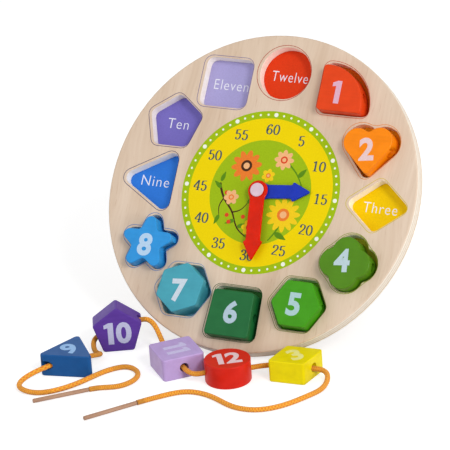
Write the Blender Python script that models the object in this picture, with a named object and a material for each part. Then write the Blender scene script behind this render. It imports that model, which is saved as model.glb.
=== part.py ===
"""A leaning wooden clock board with twelve shaped recesses, two turning hands and
twelve number blocks. Seven blocks sit in their recesses and five are threaded
on a lace that lies in front of the board.

The part's origin is a point on the back of the board, where it is held up.
X runs to the board's right, Y to the back and Z up.
"""

import math

import bmesh
import bpy
import numpy as np
from mathutils import Matrix, Vector

# Board. Its radius follows from the ring of recesses and the rim outside them.
RIM_WIDTH = 0.0061
FRONT_THICKNESS = 0.010
BACK_THICKNESS = 0.0027
RIM_ROUND = 0.0015
REAR_ROUND = 0.0005
RECESS_ROUND = 0.0003
LEAN = math.radians(38.2)
HOLD_RISE = 0.070
SEAT_GAP = 0.0003

# Twelve recesses on one ring, and the blocks that fit them. The ring is as wide
# as the recesses and the walls between them need.
RECESS_WALL = 0.0016
BLOCK_THICKNESS = 0.0195
BLOCK_ROUND = 0.0010
BORE_DIAMETER = 0.0080

QUARTER_LEG = 0.0403
QUARTER_ROUND = 0.0030
QUARTER_GAP = 0.0025
QUARTER_SHIFT = (0.0022, 0.0010)
QUARTER_SLIP = (-0.0011, -0.0019)
HEART_WIDTH = 0.0434
HEART_HEIGHT = 0.0399
HEART_LOBE = 0.0119
HEART_TIP = 0.0022
HEART_NOTCH = 0.0037
HEART_GAP = 0.0030
HEART_SHIFT = (-0.0005, -0.0074)
RHOMBUS_HALF_WIDTH = 0.0247
RHOMBUS_HALF_HEIGHT = 0.0202
RHOMBUS_ROUND = 0.0025
RHOMBUS_GAP = 0.0028
RHOMBUS_SHIFT = (0.0010, 0.0)
FLOWER_REACH = 0.0224
FLOWER_PETAL = 0.0124
FLOWER_NOTCH = 0.0034
FLOWER_GAP = 0.0024
FLOWER_SHIFT = (0.0008, 0.0014)
FLOWER_SLIP = (-0.0009, -0.0018)
HEXAGON_RADIUS = 0.0224
HEXAGON_ROUND = 0.0030
HEXAGON_GAP = 0.0029
HEXAGON_SHIFT = (0.0020, 0.0)
HEXAGON_SLIP = (0.0014, -0.0012)
TURNED_HEXAGON_SHIFT = (0.0030, 0.0)
TRAPEZOID_HEIGHT = 0.0395
TRAPEZOID_TOP = 0.0370
TRAPEZOID_FOOT = 0.0405
TRAPEZOID_ROUND = 0.0030
TRAPEZOID_GAP = 0.0027
STAR_POINT = 0.0333
STAR_WAIST = 0.0135
STAR_POINT_ROUND = 0.0050
STAR_WAIST_ROUND = 0.0035
STAR_GAP = 0.0020
STAR_SHIFT = (0.0020, -0.0024)
TRIANGLE_SIDE = 0.0485
TRIANGLE_ROUND = 0.0030
TRIANGLE_GAP = 0.0032
TRIANGLE_SHIFT = (0.0080, 0.0004)
PENTAGON_RADIUS = 0.0222
PENTAGON_ROUND = 0.0025
PENTAGON_GAP = 0.0032
SQUARE_SIDE = 0.0370
SQUARE_ROUND = 0.0030
SQUARE_GAP = 0.0034
SQUARE_SHIFT = (0.0010, 0.0008)
DISC_RADIUS = 0.0195
DISC_GAP = 0.0038

# Clock hands, their pin and its washers
PIN_DIAMETER = 0.0050
PIN_CAP_DIAMETER = 0.0120
PIN_CAP_THICKNESS = 0.0017
PIN_CAP_ROUND = 0.0006
PIN_CLEARANCE = 0.0003
COLLAR_DIAMETER = 0.0100
COLLAR_THICKNESS = 0.0016
WASHER_DIAMETER = 0.0110
WASHER_THICKNESS = 0.0005
HAND_THICKNESS = 0.0021
HAND_EDGE = 0.0008
HUB_RADIUS = 0.0088
HOUR_LENGTH = 0.0470
HOUR_HEAD_START = 0.0300
HOUR_SHAFT_WIDTH = 0.0118
HOUR_HEAD_WIDTH = 0.0180
HOUR_ANGLE = math.radians(84.6)
MINUTE_LENGTH = 0.0617
MINUTE_HEAD_START = 0.0440
MINUTE_SHAFT_WIDTH = 0.0130
MINUTE_HEAD_WIDTH = 0.0185
MINUTE_ANGLE = math.radians(173.6)
HAND_CORNER = 0.0012

# Lace
CORD_DIAMETER = 0.0044
TIP_DIAMETER = 0.0036
TIP_LENGTH = 0.0480
TIP_ROUND = 0.0005
CORD_SAG = 0.0010
BORE_INSET = 0.0040
CORD_POINTS = 80
CORD_RING_STEPS = 2
CORD_BEND_WEIGHT = 0.020
SPLINE_STEPS = 24
LACED_CLEARANCE = 0.0015

# Fineness of the round shapes
ARC_TOLERANCE = 0.00008
EDGE_STEPS = 2
LATHE_STEPS = 32
BORE_STEPS = 16
OVERRUN = 0.0050
FALL_STEPS = 12
RIM_STEPS = 180
SAME_POINT = 0.000001

TURN = 2.0 * math.pi
QUARTER_TURN = math.pi / 2.0

# Places on the lace: each block's centre and heading on the table, measured
# from the lowest point of the board. Block 3 moves forward until it clears the
# board's rim.
TABLE_9 = (-0.1188, -0.0645, math.radians(40.7))
TABLE_10 = (-0.0998, -0.0122, math.radians(28.0))
TABLE_11 = (-0.0326, -0.0373, math.radians(-44.8))
TABLE_12 = (0.0164, -0.0421, math.radians(30.0))
TABLE_3 = (0.0677, 0.0, math.radians(42.8))

# Route of the lace over the table, from the first wooden tip to the second.
# A block's number stands for the straight run through its bore.
FIRST_TIP_END = (-0.1202, -0.1301)
SECOND_TIP_END = (-0.0654, -0.1455)
ROUTE = [
    (-0.0851, -0.0971, 0.0022),
    (-0.0781, -0.0920, 0.0022),
    (-0.0659, -0.0858, 0.0022),
    (-0.0578, -0.0742, 0.0022),
    (-0.0598, -0.0574, 0.0022),
    (-0.0735, -0.0500, 0.0022),
    (-0.0838, -0.0575, 0.0022),
    (-0.0949, -0.0792, 0.0022),
    (-0.1141, -0.1102, 0.0024),
    (-0.1269, -0.1162, 0.0023),
    (-0.1408, -0.1138, 0.0036),
    "9",
    (-0.1048, -0.0474, 0.0074),
    (-0.1038, -0.0391, 0.0049),
    (-0.1126, -0.0311, 0.0025),
    (-0.1164, -0.0222, 0.0098),
    "10",
    (-0.0774, -0.0018, 0.0239),
    (-0.0578, -0.0128, 0.0112),
    "11",
    (-0.0075, -0.0555, 0.0080),
    "12",
    (0.0420, -0.0250, 0.0085),
    "3",
    (0.0933, -0.0182, 0.0072),
    (0.0994, -0.0346, 0.0029),
    (0.0943, -0.0518, 0.0023),
    (0.0807, -0.0752, 0.0022),
    (0.0615, -0.0902, 0.0023),
    (0.0440, -0.0906, 0.0022),
    (0.0195, -0.0797, 0.0022),
    (-0.0055, -0.0771, 0.0022),
    (-0.0220, -0.0903, 0.0022),
    (-0.0320, -0.1020, 0.0022),
    (-0.0361, -0.1072, 0.0022),
]

# Colours, as they look on screen
BIRCH = (222, 198, 176)
RED_ORANGE = (230, 70, 25)
ORANGE = (255, 140, 20)
YELLOW = (235, 220, 20)
OLIVE = (80, 135, 20)
GREEN = (65, 155, 25)
DARK_GREEN = (30, 105, 60)
TEAL = (70, 165, 185)
BRIGHT_BLUE = (35, 145, 230)
DARK_BLUE = (40, 100, 165)
PURPLE = (90, 60, 145)
LILAC = (190, 155, 215)
RED = (215, 45, 40)
HAND_BLUE = (40, 60, 200)
HAND_RED = (220, 30, 15)
PALE_PLASTIC = (225, 205, 220)
STEEL = (170, 172, 176)
LACE_ORANGE = (250, 150, 40)
TIP_BROWN = (190, 140, 110)


def clear_scene():
    for old in list(bpy.data.objects):
        bpy.data.objects.remove(old)


def linear(channel):
    """One 0 to 255 screen value as a linear one."""
    share = channel / 255.0
    if share <= 0.04045:
        return share / 12.92
    return ((share + 0.055) / 1.055) ** 2.4


def material(name, colour, roughness, metallic=0.0):
    made = bpy.data.materials.new(name)
    made.use_nodes = True
    shader = made.node_tree.nodes["Principled BSDF"]
    shader.inputs["Base Color"].default_value = [linear(c) for c in colour] + [1.0]
    shader.inputs["Roughness"].default_value = roughness
    shader.inputs["Metallic"].default_value = metallic
    return made


def polar(radius, angle):
    return Vector((radius * math.cos(angle), radius * math.sin(angle)))


# Outlines. An outline is a list of signed circles (centre, radius) in
# anticlockwise order, joined by their common tangents. A radius below zero is
# a hollow corner. Growing the outline adds the growth to every signed radius.

def rounded(points, rounds):
    """Signed circles that round the corners of a polygon."""
    count = len(points)
    normals = []
    for i in range(count):
        side = (points[(i + 1) % count] - points[i]).normalized()
        normals.append(Vector((side.y, -side.x)))
    circles = []
    for i in range(count):
        before = normals[i - 1]
        after = normals[i]
        bend = before.x * after.y - before.y * after.x
        signed = math.copysign(rounds[i], bend)
        inward = (before + after) / (1.0 + before.dot(after))
        circles.append((points[i] - inward * signed, signed))
    return circles


def tangent_angle(first, second):
    """Direction of the outward normal of the tangent from one circle to the next."""
    way = second[0] - first[0]
    share = (first[1] - second[1]) / way.length
    return math.atan2(way.y, way.x) - math.acos(max(-1.0, min(1.0, share)))


def outline(circles, grow=0.0):
    """Points of the outline. Their count doesn't depend on the growth."""
    points = []
    count = len(circles)
    for i, (centre, signed) in enumerate(circles):
        step = 2.0 * math.acos(1.0 - ARC_TOLERANCE / abs(signed))
        if count == 1:
            steps = math.ceil(TURN / step)
            points += [centre + polar(signed + grow, TURN * k / steps) for k in range(steps)]
            continue
        start = tangent_angle(circles[i - 1], circles[i])
        end = tangent_angle(circles[i], circles[(i + 1) % count])
        sweep = (end - start) % TURN
        if signed < 0.0:
            sweep -= TURN
        steps = max(1, math.ceil(abs(sweep) / step))
        points += [centre + polar(signed + grow, start + sweep * k / steps) for k in range(steps + 1)]
    return [p for i, p in enumerate(points) if (p - points[i - 1]).length > SAME_POINT]


def inside(point, ring):
    """Whether a point lies inside a ring of points."""
    crossings = 0
    for a, b in zip(ring, ring[1:] + ring[:1]):
        if (a.y > point.y) != (b.y > point.y):
            if point.x < a.x + (b.x - a.x) * (point.y - a.y) / (b.y - a.y):
                crossings += 1
    return crossings % 2 == 1


def circle(radius):
    return [(Vector((0.0, 0.0)), radius)]


def regular(count, radius, turned, corner):
    points = [polar(radius, turned + TURN * k / count) for k in range(count)]
    return rounded(points, [corner] * count)


def quarter_shape():
    """A quarter disc with its square corner at the lower left."""
    centre_share = 0.40
    low = -QUARTER_LEG * centre_share
    high = QUARTER_LEG + low
    points = [Vector((low, low)), Vector((high, low)), Vector((high, high)), Vector((low, high))]
    wide = (QUARTER_LEG - QUARTER_ROUND) * 0.98
    return rounded(points, [QUARTER_ROUND, QUARTER_ROUND, wide, QUARTER_ROUND])


def heart_shape():
    """Two lobes, a pointed foot and a hollow notch between the lobes."""
    spread = HEART_WIDTH / 2.0 - HEART_LOBE
    lobe_y = HEART_HEIGHT / 2.0 - HEART_LOBE
    foot = (Vector((0.0, HEART_TIP - HEART_HEIGHT / 2.0)), HEART_TIP)
    notch_y = lobe_y + math.sqrt((HEART_LOBE + HEART_NOTCH) ** 2 - spread ** 2)
    right = (Vector((spread, lobe_y)), HEART_LOBE)
    left = (Vector((-spread, lobe_y)), HEART_LOBE)
    return [foot, right, (Vector((0.0, notch_y)), -HEART_NOTCH), left]


def rhombus_shape():
    points = [
        Vector((-RHOMBUS_HALF_WIDTH, 0.0)),
        Vector((0.0, -RHOMBUS_HALF_HEIGHT)),
        Vector((RHOMBUS_HALF_WIDTH, 0.0)),
        Vector((0.0, RHOMBUS_HALF_HEIGHT)),
    ]
    return rounded(points, [RHOMBUS_ROUND] * len(points))


def flower_shape():
    """Four round petals with hollow notches between them."""
    petals = 4
    centre = FLOWER_REACH - FLOWER_PETAL
    half = math.pi / petals
    reach = FLOWER_PETAL + FLOWER_NOTCH
    notch = centre * math.cos(half) + math.sqrt(reach ** 2 - (centre * math.sin(half)) ** 2)
    circles = []
    for k in range(petals):
        angle = TURN * k / petals
        circles.append((polar(centre, angle), FLOWER_PETAL))
        circles.append((polar(notch, angle + half), -FLOWER_NOTCH))
    return circles


def hexagon_shape():
    return regular(6, HEXAGON_RADIUS, 0.0, HEXAGON_ROUND)


def trapezoid_shape():
    rise = TRAPEZOID_HEIGHT / 2.0
    foot = TRAPEZOID_FOOT / 2.0
    top = TRAPEZOID_TOP / 2.0
    points = [Vector((-foot, -rise)), Vector((foot, -rise)), Vector((top, rise)), Vector((-top, rise))]
    return rounded(points, [TRAPEZOID_ROUND] * len(points))


def star_shape():
    arms = 5
    points = []
    rounds = []
    for k in range(arms):
        angle = QUARTER_TURN + TURN * k / arms
        points += [polar(STAR_POINT, angle), polar(STAR_WAIST, angle + math.pi / arms)]
        rounds += [STAR_POINT_ROUND, STAR_WAIST_ROUND]
    return rounded(points, rounds)


def triangle_shape():
    """An equilateral triangle with one corner at the left."""
    radius = TRIANGLE_SIDE / math.sqrt(3.0)
    return regular(3, radius, math.pi, TRIANGLE_ROUND)


def pentagon_shape():
    return regular(5, PENTAGON_RADIUS, QUARTER_TURN, PENTAGON_ROUND)


def square_shape():
    half = SQUARE_SIDE / 2.0
    points = [Vector((-half, -half)), Vector((half, -half)), Vector((half, half)), Vector((-half, half))]
    return rounded(points, [SQUARE_ROUND] * len(points))


def disc_shape():
    return circle(DISC_RADIUS)


class Block:
    """One number block, with the recess that it belongs to."""

    def __init__(self, number, shape, gap, colour, turned=0.0, bore=0.0, shift=(0.0, 0.0), slip=None):
        self.number = number
        self.circles = shape()
        self.gap = gap
        self.colour = colour
        self.turned = turned
        self.bore = bore
        self.shift = Vector(shift)
        self.slip = slip
        self.name = "block_%d" % number

    @property
    def place(self):
        """Centre of the recess on the board's face."""
        return polar(RING_RADIUS, QUARTER_TURN - TURN * self.number / 12) + self.shift

    def reach(self, way):
        """How far the recess reaches from its place on the ring, in one direction."""
        return self.shift.dot(way) + max(p.dot(way) for p in outline(self.circles, self.gap))

    def fits(self, drop):
        """Whether the turned block clears its recess after slipping down by drop."""
        turned = Matrix.Rotation(self.turned, 2)
        ring = [turned @ p - Vector((0.0, drop)) for p in outline(self.circles)]
        recess = outline(self.circles, self.gap - SEAT_GAP)
        return all(inside(p, recess) for p in ring) and not any(inside(p, ring) for p in recess)

    def fallen(self):
        """Centre of the block when it has slipped to one side of its recess, the low side if not given."""
        if self.slip is not None:
            return self.place + Vector(self.slip)
        low = 0.0
        high = 2.0 * self.gap
        for _ in range(FALL_STEPS):
            middle = (low + high) / 2.0
            if self.fits(middle):
                low = middle
            else:
                high = middle
        return self.place - Vector((0.0, low))


RHOMBUS_BORE = -math.atan2(RHOMBUS_HALF_HEIGHT, RHOMBUS_HALF_WIDTH)
PENTAGON_BORE = QUARTER_TURN - TURN / 5
TRIANGLE_BORE = math.radians(9.0)

BLOCKS = [
    Block(1, quarter_shape, QUARTER_GAP, RED_ORANGE, shift=QUARTER_SHIFT, slip=QUARTER_SLIP),
    Block(2, heart_shape, HEART_GAP, ORANGE, turned=math.radians(7.0), shift=HEART_SHIFT),
    Block(3, rhombus_shape, RHOMBUS_GAP, YELLOW, bore=RHOMBUS_BORE, shift=RHOMBUS_SHIFT),
    Block(4, flower_shape, FLOWER_GAP, OLIVE, turned=math.radians(2.0), shift=FLOWER_SHIFT, slip=FLOWER_SLIP),
    Block(5, hexagon_shape, HEXAGON_GAP, GREEN, shift=HEXAGON_SHIFT, slip=HEXAGON_SLIP),
    Block(6, trapezoid_shape, TRAPEZOID_GAP, DARK_GREEN),
    Block(7, hexagon_shape, HEXAGON_GAP, TEAL, turned=math.radians(23.0), shift=TURNED_HEXAGON_SHIFT),
    Block(8, star_shape, STAR_GAP, BRIGHT_BLUE, shift=STAR_SHIFT),
    Block(9, triangle_shape, TRIANGLE_GAP, DARK_BLUE, bore=TRIANGLE_BORE, shift=TRIANGLE_SHIFT),
    Block(10, pentagon_shape, PENTAGON_GAP, PURPLE, bore=PENTAGON_BORE),
    Block(11, square_shape, SQUARE_GAP, LILAC, shift=SQUARE_SHIFT),
    Block(12, disc_shape, DISC_GAP, RED),
]
SEATED = (1, 2, 4, 5, 6, 7, 8)


def ring_radius():
    """Radius at which neighbouring recesses keep a wall between them."""
    needed = 0.0
    for here, after in zip(BLOCKS, BLOCKS[1:] + BLOCKS[:1]):
        way = polar(1.0, -TURN * (here.number + 0.5) / 12)
        needed = max(needed, here.reach(way) + after.reach(-way))
    return (needed + RECESS_WALL) / (2.0 * math.sin(math.pi / 12))


RING_RADIUS = ring_radius()
BOARD_RADIUS = RIM_WIDTH + max(
    (block.place + p).length for block in BLOCKS for p in outline(block.circles, block.gap)
)

# Frames. The board's own frame has its origin at the centre of the front
# face, X to the right, Y towards the twelve and Z out of the face.
BOARD_THICKNESS = FRONT_THICKNESS + SEAT_GAP + BACK_THICKNESS
TILT = Matrix.Rotation(QUARTER_TURN - LEAN, 4, "X")
BOARD = TILT @ Matrix.Translation((0.0, -HOLD_RISE, BOARD_THICKNESS))
LOW_EDGE = TILT @ Vector((0.0, REAR_ROUND - HOLD_RISE - BOARD_RADIUS, REAR_ROUND))
TABLE = Matrix.Translation(LOW_EDGE - Vector((0.0, 0.0, REAR_ROUND)))


def level(ring, z):
    return [Vector((p.x, p.y, z)) for p in ring]


def round_steps(size):
    """Inset and height of each step over a rounded edge, from the inset end."""
    steps = []
    for k in range(EDGE_STEPS + 1):
        angle = QUARTER_TURN * k / EDGE_STEPS
        steps.append((size * (1.0 - math.sin(angle)), size * (1.0 - math.cos(angle))))
    return steps


def add_rings(bm, rings):
    """Bridge the rings with quads and return the vertices of the first and the last."""
    made = [[bm.verts.new(p) for p in ring] for ring in rings]
    for lower, upper in zip(made, made[1:]):
        count = len(lower)
        for i in range(count):
            j = (i + 1) % count
            bm.faces.new((lower[i], lower[j], upper[j], upper[i]))
    return made[0], made[-1]


def ring_edges(bm, ring):
    return [bm.edges.get((ring[i], ring[(i + 1) % len(ring)])) for i in range(len(ring))]


def fill(bm, rings):
    """Fill the flat area between an outer ring and the rings inside it."""
    edges = [edge for ring in rings for edge in ring_edges(bm, ring)]
    bmesh.ops.triangle_fill(bm, use_beauty=True, use_dissolve=False, edges=edges)


def solid(name, rings, holes, made_of, smooth=30.0):
    """A closed object from a stack of rings, with any number of holes through it."""
    bm = bmesh.new()
    ends = [add_rings(bm, rings)] + [add_rings(bm, hole) for hole in holes]
    if holes:
        fill(bm, [first for first, last in ends])
        fill(bm, [last for first, last in ends])
    else:
        bm.faces.new(list(reversed(ends[0][0])))
        bm.faces.new(ends[0][1])
    bmesh.ops.recalc_face_normals(bm, faces=bm.faces)
    mesh = bpy.data.meshes.new(name)
    bm.to_mesh(mesh)
    bm.free()
    mesh.materials.append(made_of)
    made = bpy.data.objects.new(name, mesh)
    bpy.context.collection.objects.link(made)
    mesh.shade_smooth()
    mesh.set_sharp_from_angle(angle=math.radians(smooth))
    return made


def rounded_stack(circles, thickness, low_round, high_round):
    """Rings of a plate with both of its edges rounded."""
    low = [level(outline(circles, -inset), z) for inset, z in round_steps(low_round)]
    high = [level(outline(circles, -inset), thickness - z) for inset, z in round_steps(high_round)]
    return low + list(reversed(high))


def placed(points, where):
    return [where @ p for p in points]


def front_panel():
    wood = material("front_birch", BIRCH, 0.45)
    drop = Matrix.Translation((0.0, 0.0, -FRONT_THICKNESS))
    base = rounded_stack(circle(BOARD_RADIUS), FRONT_THICKNESS, REAR_ROUND, RIM_ROUND)
    holes = []
    for block in BLOCKS:
        where = Matrix.Translation((block.place.x, block.place.y, 0.0))
        sides = [
            level(outline(block.circles, block.gap), -FRONT_THICKNESS),
            level(outline(block.circles, block.gap), -RECESS_ROUND),
            level(outline(block.circles, block.gap + RECESS_ROUND), 0.0),
        ]
        holes.append([placed(ring, where) for ring in sides])
    pin_hole = outline(circle(PIN_DIAMETER / 2.0 + PIN_CLEARANCE))
    holes.append([level(pin_hole, -FRONT_THICKNESS), level(pin_hole, 0.0)])
    panel = solid("front_panel", [placed(ring, drop) for ring in base], holes, wood)
    panel.matrix_world = BOARD


def back_panel():
    wood = material("back_birch", BIRCH, 0.5)
    rear = -BOARD_THICKNESS
    drop = Matrix.Translation((0.0, 0.0, rear))
    base = rounded_stack(circle(BOARD_RADIUS), BACK_THICKNESS, REAR_ROUND, REAR_ROUND)
    wide = outline(circle(COLLAR_DIAMETER / 2.0 + PIN_CLEARANCE))
    grow = (PIN_DIAMETER - COLLAR_DIAMETER) / 2.0
    narrow = outline(circle(COLLAR_DIAMETER / 2.0 + PIN_CLEARANCE), grow)
    step = rear + COLLAR_THICKNESS + 2.0 * SEAT_GAP
    hole = [level(wide, rear), level(wide, step), level(narrow, step), level(narrow, rear + BACK_THICKNESS)]
    panel = solid("back_panel", [placed(ring, drop) for ring in base], [hole], wood)
    panel.matrix_world = BOARD


def bore_way(block):
    return Vector((math.cos(block.bore), math.sin(block.bore), 0.0))


def cut_bore(made, block):
    """Drill the lacing hole through the middle of a block."""
    bm = bmesh.new()
    long = 2.0 * (max(c.length + abs(r) for c, r in block.circles) + OVERRUN)
    radius = BORE_DIAMETER / 2.0
    bmesh.ops.create_cone(
        bm, cap_ends=True, segments=BORE_STEPS, radius1=radius, radius2=radius, depth=long
    )
    mesh = bpy.data.meshes.new(made.name + "_drill")
    bm.to_mesh(mesh)
    bm.free()
    drill = bpy.data.objects.new(made.name + "_drill", mesh)
    bpy.context.collection.objects.link(drill)
    drill.hide_render = True
    drill.display_type = "WIRE"
    lay = bore_way(block).to_track_quat("Z", "Y").to_matrix().to_4x4()
    drill.matrix_world = made.matrix_world @ Matrix.Translation((0.0, 0.0, BLOCK_THICKNESS / 2.0)) @ lay
    cut = made.modifiers.new("bore", "BOOLEAN")
    cut.operation = "DIFFERENCE"
    cut.solver = "EXACT"
    cut.object = drill


def forward_of_rim(block, x, heading):
    """The rearmost place on the table at which a flat block clears the board's rim."""
    front = TABLE.inverted() @ BOARD
    rim = []
    for k in range(RIM_STEPS):
        angle = QUARTER_TURN * k / RIM_STEPS
        p = front @ Vector((BOARD_RADIUS * math.sin(angle), -BOARD_RADIUS * math.cos(angle), 0.0))
        if p.z < BLOCK_THICKNESS:
            rim.append(p)
    back = Matrix.Rotation(-heading, 2)
    ring = outline(block.circles, LACED_CLEARANCE)
    low = rim[0].y - BOARD_RADIUS
    high = rim[-1].y
    for _ in range(FALL_STEPS):
        middle = (low + high) / 2.0
        if any(inside(back @ Vector((p.x - x, p.y - middle)), ring) for p in rim):
            high = middle
        else:
            low = middle
    return low


def block_pose(block):
    """Where a block stands: seated in the board or laced on the table."""
    if block.number in SEATED:
        place = block.fallen()
        lift = SEAT_GAP - FRONT_THICKNESS
        return BOARD @ Matrix.Translation((place.x, place.y, lift)) @ Matrix.Rotation(block.turned, 4, "Z")
    x, y, heading = {9: TABLE_9, 10: TABLE_10, 11: TABLE_11, 12: TABLE_12, 3: TABLE_3}[block.number]
    if block.number == 3:
        y = forward_of_rim(block, x, heading)
    turned = TABLE @ Matrix.Translation((x, y, 0.0)) @ Matrix.Rotation(heading, 4, "Z")
    if block.number != 10:
        return turned
    stand = PENTAGON_RADIUS * math.cos(math.pi / 5)
    upright = Matrix.Rotation(QUARTER_TURN, 4, "X")
    centred = Matrix.Translation((0.0, 0.0, -BLOCK_THICKNESS / 2.0))
    return turned @ Matrix.Translation((0.0, 0.0, stand)) @ upright @ centred


def block(which):
    paint = material(which.name + "_paint", which.colour, 0.3)
    rings = rounded_stack(which.circles, BLOCK_THICKNESS, BLOCK_ROUND, BLOCK_ROUND)
    made = solid(which.name, rings, [], paint)
    made.matrix_world = block_pose(which)
    cut_bore(made, which)


def hand_outline(length, head_start, shaft_width, head_width):
    """An arrow that points up the Y axis, with a round hub at the pin."""
    half = shaft_width / 2.0
    wide = head_width / 2.0
    rise = math.sqrt(HUB_RADIUS ** 2 - half ** 2)
    corners = [
        Vector((half, rise)),
        Vector((half, head_start)),
        Vector((wide, head_start)),
        Vector((0.0, length)),
        Vector((-wide, head_start)),
        Vector((-half, head_start)),
        Vector((-half, rise)),
        Vector((0.0, -HUB_RADIUS)),
    ]
    circles = rounded(corners, [HAND_CORNER] * len(corners))
    hub = (Vector((0.0, 0.0)), HUB_RADIUS)
    fillet = HUB_RADIUS
    side = half + fillet
    up = math.sqrt((HUB_RADIUS + fillet) ** 2 - side ** 2)
    right = (Vector((side, up)), -fillet)
    left = (Vector((-side, up)), -fillet)
    return [hub, right] + circles[1:6] + [left]


def hand(name, colour, angle, base, length, head_start, shaft_width, head_width):
    paint = material(name + "_gloss", colour, 0.25)
    shape = hand_outline(length, head_start, shaft_width, head_width)
    rings = rounded_stack(shape, HAND_THICKNESS, RECESS_ROUND, HAND_EDGE)
    hole = outline(circle(PIN_DIAMETER / 2.0 + PIN_CLEARANCE))
    made = solid(name, rings, [[level(hole, 0.0), level(hole, HAND_THICKNESS)]], paint)
    made.matrix_world = BOARD @ Matrix.Translation((0.0, 0.0, base)) @ Matrix.Rotation(-angle, 4, "Z")


def lathe(name, profile, made_of):
    """A turned piece. The profile is a closed outline of (radius, height)."""
    bm = bmesh.new()
    columns = []
    for radius, z in profile:
        if radius == 0.0:
            columns.append([bm.verts.new((0.0, 0.0, z))] * LATHE_STEPS)
            continue
        turn = [polar(radius, TURN * k / LATHE_STEPS) for k in range(LATHE_STEPS)]
        columns.append([bm.verts.new((p.x, p.y, z)) for p in turn])
    for lower, upper in zip(columns, columns[1:] + columns[:1]):
        for i in range(LATHE_STEPS):
            j = (i + 1) % LATHE_STEPS
            corners = list(dict.fromkeys((lower[i], lower[j], upper[j], upper[i])))
            if len(corners) > 2:
                bm.faces.new(corners)
    bmesh.ops.recalc_face_normals(bm, faces=bm.faces)
    mesh = bpy.data.meshes.new(name)
    bm.to_mesh(mesh)
    bm.free()
    mesh.materials.append(made_of)
    made = bpy.data.objects.new(name, mesh)
    bpy.context.collection.objects.link(made)
    mesh.shade_smooth()
    mesh.set_sharp_from_angle(angle=math.radians(30.0))
    return made


def washer(name, outer, thickness, base, made_of):
    inner = PIN_DIAMETER / 2.0 + PIN_CLEARANCE
    profile = [(inner, 0.0), (outer / 2.0, 0.0), (outer / 2.0, thickness), (inner, thickness)]
    made = lathe(name, profile, made_of)
    made.matrix_world = BOARD @ Matrix.Translation((0.0, 0.0, base))


def pin_and_hands():
    """The hands turn on one pin, each on a thin washer, under the pin's cap."""
    pale = material("pin_plastic", PALE_PLASTIC, 0.35)
    steel = material("pin_steel", STEEL, 0.35, metallic=1.0)
    height = SEAT_GAP
    washer("lower_washer", WASHER_DIAMETER, WASHER_THICKNESS, height, pale)
    height += WASHER_THICKNESS + SEAT_GAP
    hand("hour_hand", HAND_BLUE, HOUR_ANGLE, height,
         HOUR_LENGTH, HOUR_HEAD_START, HOUR_SHAFT_WIDTH, HOUR_HEAD_WIDTH)
    height += HAND_THICKNESS + SEAT_GAP
    washer("upper_washer", WASHER_DIAMETER, WASHER_THICKNESS, height, pale)
    height += WASHER_THICKNESS + SEAT_GAP
    hand("minute_hand", HAND_RED, MINUTE_ANGLE, height,
         MINUTE_LENGTH, MINUTE_HEAD_START, MINUTE_SHAFT_WIDTH, MINUTE_HEAD_WIDTH)
    height += HAND_THICKNESS + SEAT_GAP

    rear = SEAT_GAP - BOARD_THICKNESS
    shaft = PIN_DIAMETER / 2.0
    cap = PIN_CAP_DIAMETER / 2.0
    top = height + PIN_CAP_THICKNESS
    profile = [(0.0, rear), (shaft, rear), (shaft, height), (cap - PIN_CAP_ROUND, height)]
    profile += [(cap, height + PIN_CAP_ROUND), (cap, top - PIN_CAP_ROUND)]
    profile += [(cap - PIN_CAP_ROUND, top), (0.0, top)]
    pin = lathe("clock_pin", profile, pale)
    pin.matrix_world = BOARD
    washer("pin_collar", COLLAR_DIAMETER, COLLAR_THICKNESS, rear, steel)


def bore_run(number):
    """Two points of the lace inside a block's bore, near its two ends."""
    which = BLOCKS[number - 1]
    pose = block_pose(which)
    middle = Vector((0.0, 0.0, BLOCK_THICKNESS / 2.0))
    way = bore_way(which)
    flat = Vector((way.x, way.y))
    ring = outline(which.circles)
    ends = []
    for sense in (-1.0, 1.0):
        reach = 0.0
        for a, b in zip(ring, ring[1:] + ring[:1]):
            side_a = flat.x * a.y - flat.y * a.x
            side_b = flat.x * b.y - flat.y * b.x
            if side_a * side_b < 0.0 or side_a == 0.0:
                cross = a + (b - a) * (side_a / (side_a - side_b))
                reach = max(reach, sense * flat.dot(cross))
        ends.append(pose @ (middle + way * sense * (reach - BORE_INSET)) - Vector((0.0, 0.0, CORD_SAG)))
    return ends


def route_points():
    """The hand-chosen points of the route, with the runs through the bores."""
    points = []
    for stop in ROUTE:
        if isinstance(stop, str):
            points += bore_run(int(stop))
        else:
            points.append(TABLE @ Vector(stop))
    return points


def smooth_curve(points):
    """A dense natural cubic spline through the route's points."""
    p = np.array([tuple(q) for q in points])
    gaps = np.linalg.norm(np.diff(p, axis=0), axis=1)
    count = len(p)
    system = np.eye(count)
    right = np.zeros((count, 3))
    for i in range(1, count - 1):
        system[i, i - 1] = gaps[i - 1]
        system[i, i] = 2.0 * (gaps[i - 1] + gaps[i])
        system[i, i + 1] = gaps[i]
        right[i] = 6.0 * ((p[i + 1] - p[i]) / gaps[i] - (p[i] - p[i - 1]) / gaps[i - 1])
    bend = np.linalg.solve(system, right)
    dense = []
    for i, gap in enumerate(gaps):
        for t in np.linspace(0.0, 1.0, SPLINE_STEPS, endpoint=False):
            near = 1.0 - t
            chord = near * p[i] + t * p[i + 1]
            bow = (near ** 3 - near) * bend[i] + (t ** 3 - t) * bend[i + 1]
            dense.append(chord + bow * gap ** 2 / 6.0)
    dense.append(p[-1])
    return np.array(dense)


def thinned(dense, count):
    """Points along a dense curve, closer together where it bends."""
    steps = np.diff(dense, axis=0)
    lengths = np.linalg.norm(steps, axis=1)
    ways = steps / lengths[:, None]
    bends = np.zeros(len(lengths))
    bends[1:] = np.linalg.norm(np.diff(ways, axis=0), axis=1)
    weight = np.concatenate([[0.0], np.cumsum(lengths + CORD_BEND_WEIGHT * bends)])
    wanted = np.linspace(0.0, weight[-1], count)
    return np.stack([np.interp(wanted, weight, dense[:, k]) for k in range(3)], axis=1)


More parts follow.
